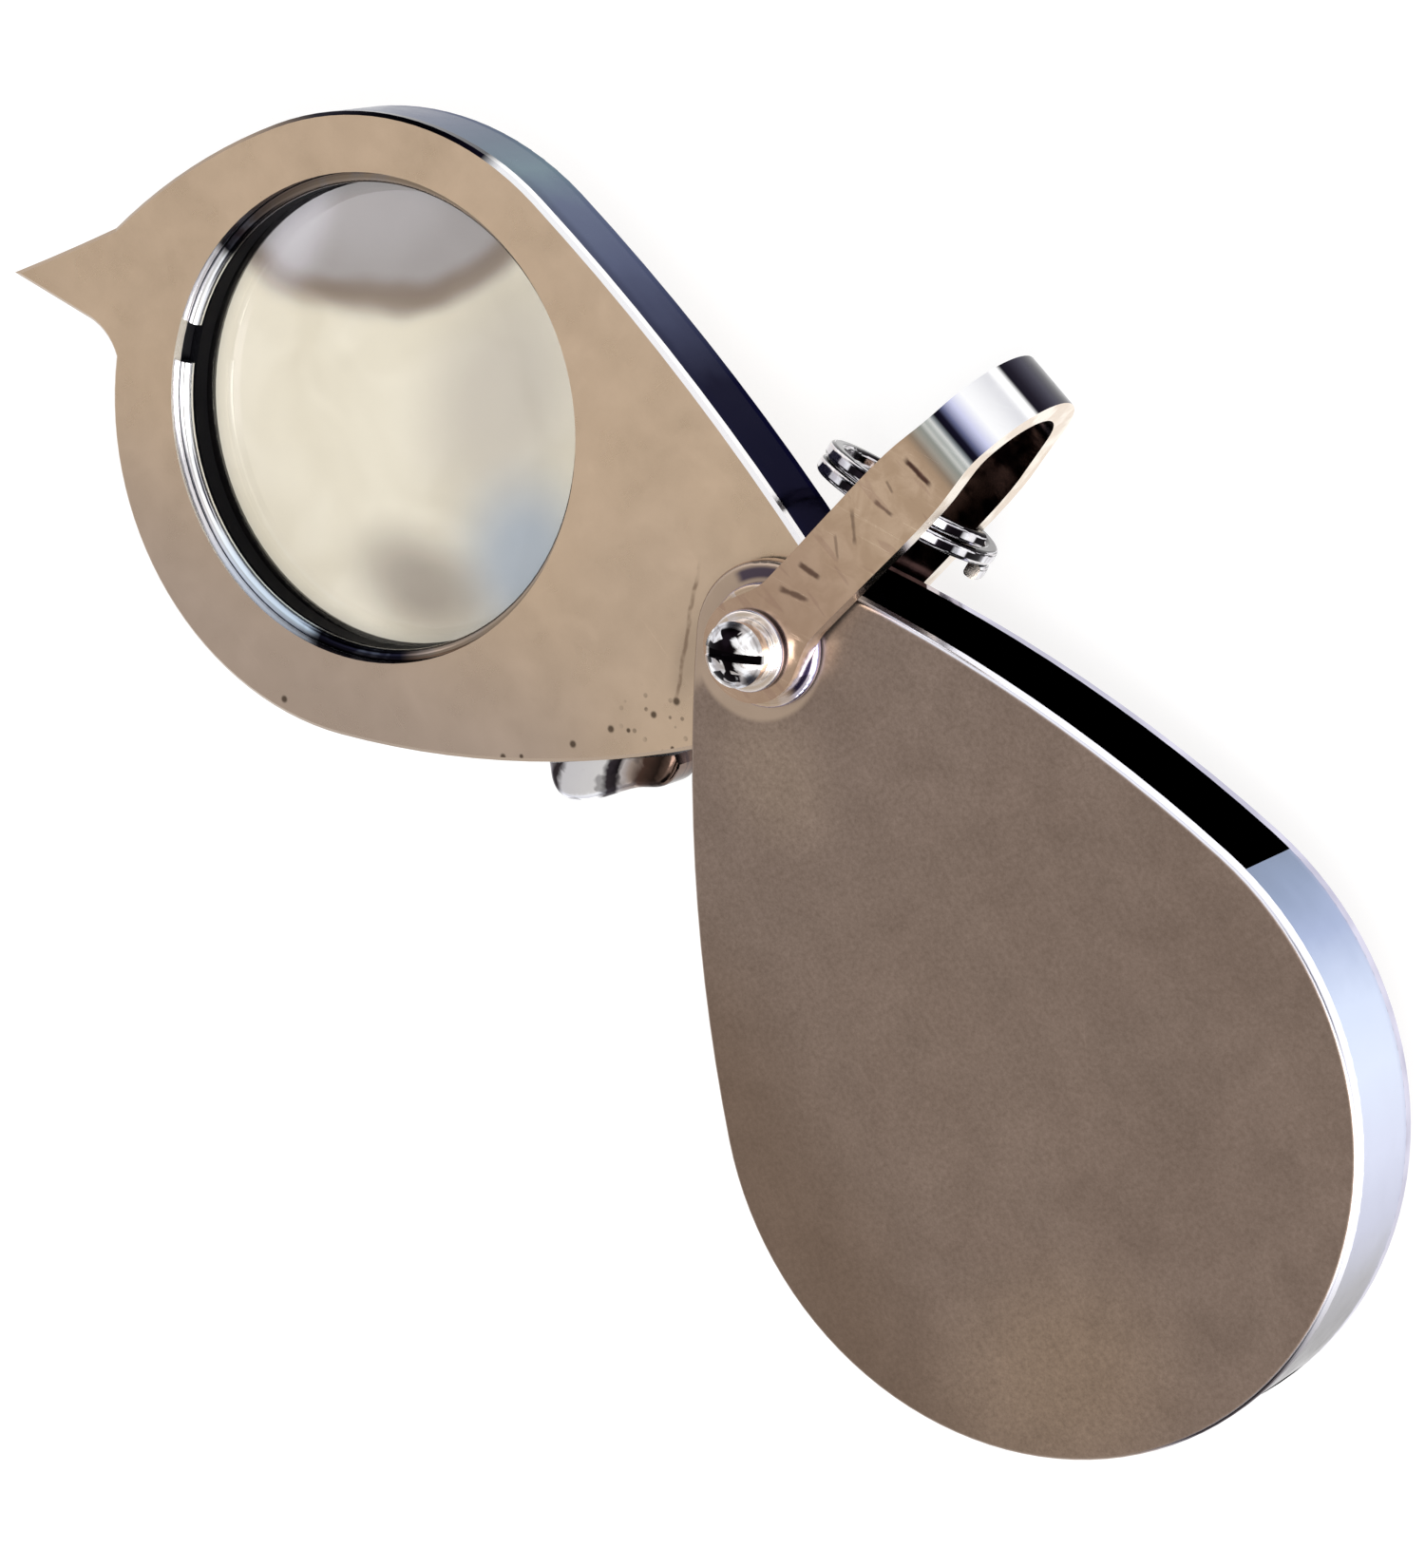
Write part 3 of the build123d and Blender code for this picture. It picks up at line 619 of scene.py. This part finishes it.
def thumb_lug():
    """Bright, with painted reflections: dark streaks, and a brown reflection towards the pivot.
    """
    mat = Surface("lug_chrome_painted_reflection", -OPEN_ANGLE)
    soft = (mat.noise(scale=1.1, rough=0.5, distort=0.6) - 0.5) * 0.12
    along = mat.x.linear(over=(9.2, 3.0)) + soft
    along = along + (mat.z + -1.0) * 0.03
    tone = mat.ramp(along, stops(
        (0.00, 110, 104, 108), (0.14, 150, 146, 150), (0.19, 56, 50, 54), (0.23, 60, 54, 58),
        (0.27, 238, 238, 244), (0.52, 252, 252, 254), (0.565, 60, 54, 60),
        (0.62, 26, 22, 26), (0.655, 216, 210, 210), (0.72, 176, 160, 150),
        (0.79, 84, 64, 56), (0.90, 44, 34, 30), (1.00, 130, 106, 94)))
    streak = mat.noise(scale=1.0, detail=2.0, stretch=(0.7, 0.7, 3.0)).ease(over=(0.56, 0.62))
    mat.finish("thumb_lug", tone=mat.layer(tone, (streak * 0.5, 60, 54, 58)),
               roughness=soft.linear(over=(-0.05, 0.05), to=(0.08, 0.2)),
               relief=mat.noise(scale=14.0), strength=0.06)


def pivot_screw():
    """Bright dome with painted reflections, a dark sweep over one side and tan on part of the
    skirt, and painted shade in its black slot.
    """
    mat = Surface("screw_chrome")
    radius = mat.radius(mat.x, mat.y)
    angle = mat.angle(mat.y, mat.x)
    wisp = mat.noise(scale=1.5, rough=0.5, distort=1.0, shift=(2, 5, 1))
    side = mat.x * -0.56 + mat.y * -0.83
    side = side + (wisp - 0.5) * 1.1
    swirl = mat.noise(scale=1.7, detail=1.0, rough=0.4, distort=0.9, shift=(7, 1, 4))
    sweep = side.ease(over=(-0.42, -0.22)) * radius.ease(over=(1.16, 1.04))
    sweep = sweep * swirl.ease(over=(0.62, 0.57))
    slot = mat.z.ease(over=(5.24, 5.10)) * radius.ease(over=(1.24, 1.15))
    skirt = mat.z.ease(over=(5.08, 4.9)) * angle.ease(over=(-0.2, -1.4))
    skirt = radius.ease(over=(1.24, 1.29)) * skirt
    tone = mat.layer(
        mat.mix(wisp.ease(over=(0.45, 0.6)), srgb(250, 250, 252), srgb(196, 190, 188)),
        (sweep, 16, 11, 15),
        (slot, 12, 9, 12),
        (skirt * 0.6, 222, 190, 158))
    mat.finish("pivot_screw", tone=tone,
               roughness=wisp.linear(over=(0.3, 0.7), to=(0.07, 0.2)),
               relief=mat.noise(scale=12.0), strength=0.08)


def turned_metal(name, *names, first, second, rings=9.0, rim=None, sweep=False):
    """Turned rings in two tones. `rim` gives the outer edge's painted reflection: its inner
    tone, outer tone and the height where they meet; `sweep` adds painted reflection stripes on
    the face."""
    mat = Surface(name)
    radius = mat.radius(mat.x, mat.y)
    turned = mat.noise(scale=1.0, rough=0.6, vector=mat.vector(radius * rings, mat.z))
    around = mat.noise(scale=1.3, detail=2.0, rough=0.5,
                       vector=mat.vector(mat.angle(mat.y, mat.x), mat.z))
    tone = mat.mix(turned.ease(over=(0.35, 0.65)), srgb(*first), srgb(*second))
    tone = mat.layer(tone, (around.ease(over=(0.52, 0.66)) * 0.5, 236, 232, 240))
    if sweep:
        # painted reflection: dark and pale stripes side by side over one part of the face
        angle = mat.angle(mat.y, mat.x)
        part = angle.ease(over=(-0.15, 0.2)) * angle.ease(over=(1.7, 1.3))
        stripes = mat.ramp(radius.linear(over=(2.0, 2.5)), stops(
            (0.05, 196, 172, 148), (0.15, 44, 38, 66), (0.38, 52, 48, 80),
            (0.50, 214, 212, 236), (0.72, 200, 198, 224), (0.88, 70, 64, 92)))
        tone = mat.mix(part, tone, stripes)
    if rim:
        low, high, height = rim
        edge = mat.mix(abs(mat.z).ease(over=(height - 0.06, height + 0.02)),
                       srgb(*low), srgb(*high))
        tone = mat.mix(abs(mat.normal_z).ease(over=(0.9, 0.5)), tone, edge)
    mat.finish(*names, tone=tone, roughness=turned.linear(over=(0.3, 0.7), to=(0.16, 0.3)),
               relief=turned, strength=0.12)


# ------------------------------------------------------ lens and its mount
def lens_cell():
    """Bright turned bore, black over its lower inside."""
    mat = Surface("lens_cell_turned", -OPEN_ANGLE)
    radius = mat.radius(*mat.from_lens())
    turned = mat.noise(scale=1.0, rough=0.6, vector=mat.vector(mat.z * 9.0, radius * 6.0))
    lower = mat.z.ease(over=(1.27, 1.22)) * mat.z.ease(over=(-1.3, -1.2))
    lower = lower * radius.ease(over=(10.75, 10.6))
    tone = mat.mix(turned.ease(over=(0.35, 0.65)), srgb(176, 186, 200), srgb(222, 228, 238))
    mat.finish("lens_cell", tone=mat.layer(tone, (lower, 20, 19, 24)),
               metallic=1.0 - lower * 0.8,
               roughness=turned.linear(over=(0.3, 0.7), to=(0.14, 0.26)),
               relief=turned, strength=0.15)


def lens_spacer():
    """Matt black."""
    mat = Surface("lens_spacer_black", -OPEN_ANGLE)
    fine = mat.noise(scale=9.0, detail=4.0)
    mat.set("Specular IOR Level", 0.06)
    mat.finish("lens_spacer",
               tone=mat.mix(fine.ease(over=(0.35, 0.65)), srgb(5, 5, 7), srgb(14, 14, 18)),
               metallic=0.0, roughness=fine.linear(over=(0.3, 0.7), to=(0.5, 0.65)),
               relief=fine, strength=0.2)


def retaining_ring():
    """Polished wire with bright and dark reflections round it."""
    mat = Surface("retaining_ring_chrome", -OPEN_ANGLE)
    across, along = mat.from_lens()
    turns = mat.angle(along, across) / (2 * math.pi)
    soft = mat.noise(scale=0.7)
    tone = mat.ramp(turns + 0.5, stops(
        (0.000, 176, 158, 138), (0.300, 150, 134, 118), (0.425, 40, 34, 40),
        (0.438, 16, 14, 20), (0.446, 250, 252, 255), (0.630, 255, 255, 255),
        (0.670, 222, 234, 246), (0.742, 188, 206, 224), (0.752, 16, 16, 26),
        (0.822, 20, 20, 32), (0.850, 150, 134, 120), (1.000, 178, 160, 140)))
    tone = mat.layer(tone, (soft.ease(over=(0.5, 0.7), to=(0.0, 0.25)), 120, 130, 146))
    mat.finish("lens_retaining_ring", tone=tone,
               roughness=soft.linear(over=(0.3, 0.7), to=(0.06, 0.16)),
               relief=mat.noise(scale=12.0, detail=2.0), strength=0.05)


# Soft reflections in the glass: centre, fade radii, stretch, amount, colour
GLASS_SPOTS = [
    ((27.6, -6.3), (0.6, 2.8), (0.8, 1.5), 0.7, (206, 204, 212)),
    ((16.0, -3.2), (1.0, 5.0), (1.0, 1.5), 0.55, (168, 160, 154)),
    ((13.0, 2.6), (0.8, 4.2), (1.0, 1.2), 0.75, (152, 168, 188)),
    ((17.2, 5.6), (0.6, 3.6), (1.3, 0.9), 0.70, (122, 110, 102)),
]


def lens_glass():
    """Clear, slightly warm glass with faint wipe marks and soft reflections."""
    mat = Surface("lens_glass_clear", -OPEN_ANGLE)
    wipe = mat.noise(scale=1.0, detail=4.0, rough=0.6, distort=0.6,
                     vector=mat.map(mat.place, turn=0.6), stretch=(0.25, 2.2, 1))
    cloud = mat.noise(scale=0.18, detail=2.0, rough=0.5, distort=0.4)
    # painted shade: a wide darker arc about a point off the lens, with a brown line in its edge
    waver = (mat.noise(scale=0.3, detail=1.0, shift=(4, 4, 4)) - 0.5) * 1.2
    arc = mat.radius(mat.x - 27.0, mat.y + 15.0) + waver
    line = arc.ease(over=(10.3, 11.1)) * arc.ease(over=(12.1, 11.3))
    from_axis = mat.radius(*mat.from_lens())
    # painted shade darkens the glass towards its rim
    tone = mat.layer(
        mat.mix(cloud.ease(over=(0.4, 0.6)), srgb(220, 213, 195), srgb(230, 224, 208)),
        (arc.ease(over=(12.4, 10.8)) * 0.88, 148, 144, 148),
        (line * 0.75, 118, 98, 80),
        *[(mat.spot(at, fade, stretch) * amount, *levels)
          for at, fade, stretch, amount, levels in GLASS_SPOTS],
        (from_axis.ease(over=(8.6, 9.9), to=(0.0, 0.45)), 110, 116, 120))
    mat.set("IOR", 1.52)
    mat.set("Transmission Weight", 1.0)
    mat.finish("lens", tone=tone, metallic=0.0,
               roughness=wipe.linear(over=(0.58, 0.8), to=(0.0, 0.05)))
    # light passes through to what lies below
    clear = mat.add("ShaderNodeBsdfTransparent", {"Color": (0.93, 0.92, 0.89, 1)})
    both = mat.add("ShaderNodeMixShader", {
        0: mat.add("ShaderNodeLightPath").outputs["Is Shadow Ray"],
        1: mat.bsdf.outputs["BSDF"], 2: clear.outputs["BSDF"]})
    mat.put(mat.out.inputs["Surface"], both.outputs[0])


case_front()
case_back()
case_wall()
frame_front()
frame_back()
frame_band()
bail_strap()
chrome("ring_chrome_painted_reflection", "bail_split_ring", scale=1.3, contrast=1.0, seed=4.0, cut=0.47)
thumb_lug()
chrome("nut_chrome_painted_reflection", "pivot_nut", scale=0.9, contrast=0.35, seed=2.0, cut=0.56)
pivot_screw()
turned_metal("screw_washer_steel_painted_reflection", "screw_washer",
             first=(222, 206, 190), second=(244, 236, 230),
             rim=((40, 34, 50), (190, 186, 204), 4.08))
turned_metal("bail_washer_steel_painted_reflection", "front_bail_washer", "rear_bail_washer",
             first=(196, 172, 148), second=(222, 200, 176),
             rim=((44, 40, 66), (196, 192, 224), 2.70), sweep=True)
turned_metal("friction_washer_steel", "front_friction_washer", "rear_friction_washer",
             first=(150, 146, 142), second=(188, 184, 178), rings=14.0)
turned_metal("boss_steel", "lens_frame_boss", first=(140, 136, 134), second=(180, 176, 172))
turned_metal("bush_brass", "pivot_bush", first=(196, 158, 92), second=(220, 186, 120))
lens_cell()
lens_spacer()
retaining_ring()
lens_glass()

# ------------------------------------------------------------------- studio
FLOOR_SIZE = 4.0
FLOOR_GAP = 0.00015  # metres below the lowest piece

# World colours from below the horizon (0) to overhead (1), linear
SKY_STOPS = [
    (0.00, (0.80, 0.80, 0.82, 1)), (0.25, (0.72, 0.72, 0.76, 1)),
    (0.60, (0.95, 0.95, 0.97, 1)), (1.00, (1.10, 1.10, 1.10, 1)),
]

# Round cards in the sky: direction, inner and outer angle in degrees, colour
SKY_CARDS = [
    ((-0.104, -0.541, 0.835), 14, 46, (0.62, 0.60, 0.58, 1)),
    ((0.9, -0.35, 0.30), 12, 26, (0.03, 0.03, 0.04, 1)),
    ((-0.9, 0.1, 0.35), 12, 24, (0.05, 0.05, 0.06, 1)),
    ((0.10, 0.90, 0.45), 9, 20, (0.04, 0.04, 0.06, 1)),
    ((0.75, 0.55, 0.62), 16, 24, (2.6, 2.6, 2.7, 1)),
    ((-0.65, -0.3, 0.75), 8, 15, (1.8, 1.8, 1.9, 1)),
]


def build_floor():
    """Pale, faintly glowing floor that can be seen through from below."""
    floor_z = Vector(cad_box[0]).z - FLOOR_GAP
    bpy.ops.mesh.primitive_plane_add(size=FLOOR_SIZE, location=(0, 0, floor_z))
    floor = bpy.context.object
    floor.name = "floor"
    material = bpy.data.materials.new("floor_pale")
    tree = Nodes(material)
    diffuse = tree.add("ShaderNodeBsdfDiffuse", {"Color": (0.28, 0.28, 0.28, 1)})
    glow = tree.add("ShaderNodeEmission", {"Color": (1.0, 1.0, 1.0, 1), "Strength": 0.80})
    top = tree.add("ShaderNodeAddShader", {0: diffuse.outputs[0], 1: glow.outputs[0]})
    both = tree.add("ShaderNodeMixShader", {
        0: tree.add("ShaderNodeNewGeometry").outputs["Backfacing"],
        1: top.outputs[0],
        2: tree.add("ShaderNodeBsdfTransparent").outputs[0]})
    tree.add("ShaderNodeOutputMaterial", {"Surface": both.outputs[0]})
    floor.data.materials.append(material)


def build_world():
    """Soft bright sky with cards for the metal; the camera sees plain white."""
    world = bpy.data.worlds.new("studio")
    scene.world = world
    tree = Nodes(world)
    direction = tree.add("ShaderNodeTexCoord").outputs["Generated"]
    height = tree.split(direction)[2]
    sky = tree.ramp(height.linear(over=(-0.2, 1.0)), SKY_STOPS)
    for toward, inner, outer, colour in SKY_CARDS:
        facing = tree.add("ShaderNodeVectorMath",
                          {0: direction, 1: Vector(toward).normalized()},
                          operation="DOT_PRODUCT")
        card = Value(tree, facing.outputs["Value"]).ease(
            over=(math.cos(math.radians(outer)), math.cos(math.radians(inner))))
        sky = tree.mix(card, sky, colour)
    lit = tree.add("ShaderNodeBackground", {"Color": sky, "Strength": 1.0})
    plain = tree.add("ShaderNodeBackground", {"Color": (1.0, 1.0, 1.0, 1)})
    both = tree.add("ShaderNodeMixShader", {
        0: tree.add("ShaderNodeLightPath").outputs["Is Camera Ray"],
        1: lit.outputs[0], 2: plain.outputs[0]})
    tree.add("ShaderNodeOutputWorld", {"Surface": both.outputs[0]})


def build_key():
    """Round key light aimed at the pivot."""
    light = bpy.data.lights.new("key", "AREA")
    light.shape = "DISK"
    light.size = 0.35
    light.energy = 1.1
    light.color = (1.0, 0.985, 0.96)
    key = bpy.data.objects.new("key", light)
    scene.collection.objects.link(key)
    key.location = (0.22, 0.10, 0.42)
    key.rotation_mode = "QUATERNION"
    key.rotation_quaternion = (-Vector(key.location)).to_track_quat("-Z", "Y")


def build_camera():
    lens = bpy.data.cameras.new("camera")
    lens.sensor_fit = "AUTO"
    lens.sensor_width = 36.0
    lens.lens = 110.0072727
    lens.clip_start = 0.005
    lens.clip_end = 20.0
    camera = bpy.data.objects.new("camera", lens)
    scene.collection.objects.link(camera)
    right = Vector((0.47673, 0.70949, -0.51899))
    up = Vector((-0.87287, 0.45194, -0.18396))
    back = Vector((0.10404, 0.54071, 0.83475))
    camera.rotation_mode = "QUATERNION"
    camera.rotation_quaternion = Matrix((right, up, back)).transposed().to_quaternion()
    camera.location = (0.02296, 0.09618, 0.15922)
    scene.camera = camera


build_floor()
build_world()
build_key()
build_camera()

scene.view_settings.view_transform = "Standard"
scene.view_settings.look = "None"
scene.view_settings.exposure = 0.0
scene.view_settings.gamma = 1.0
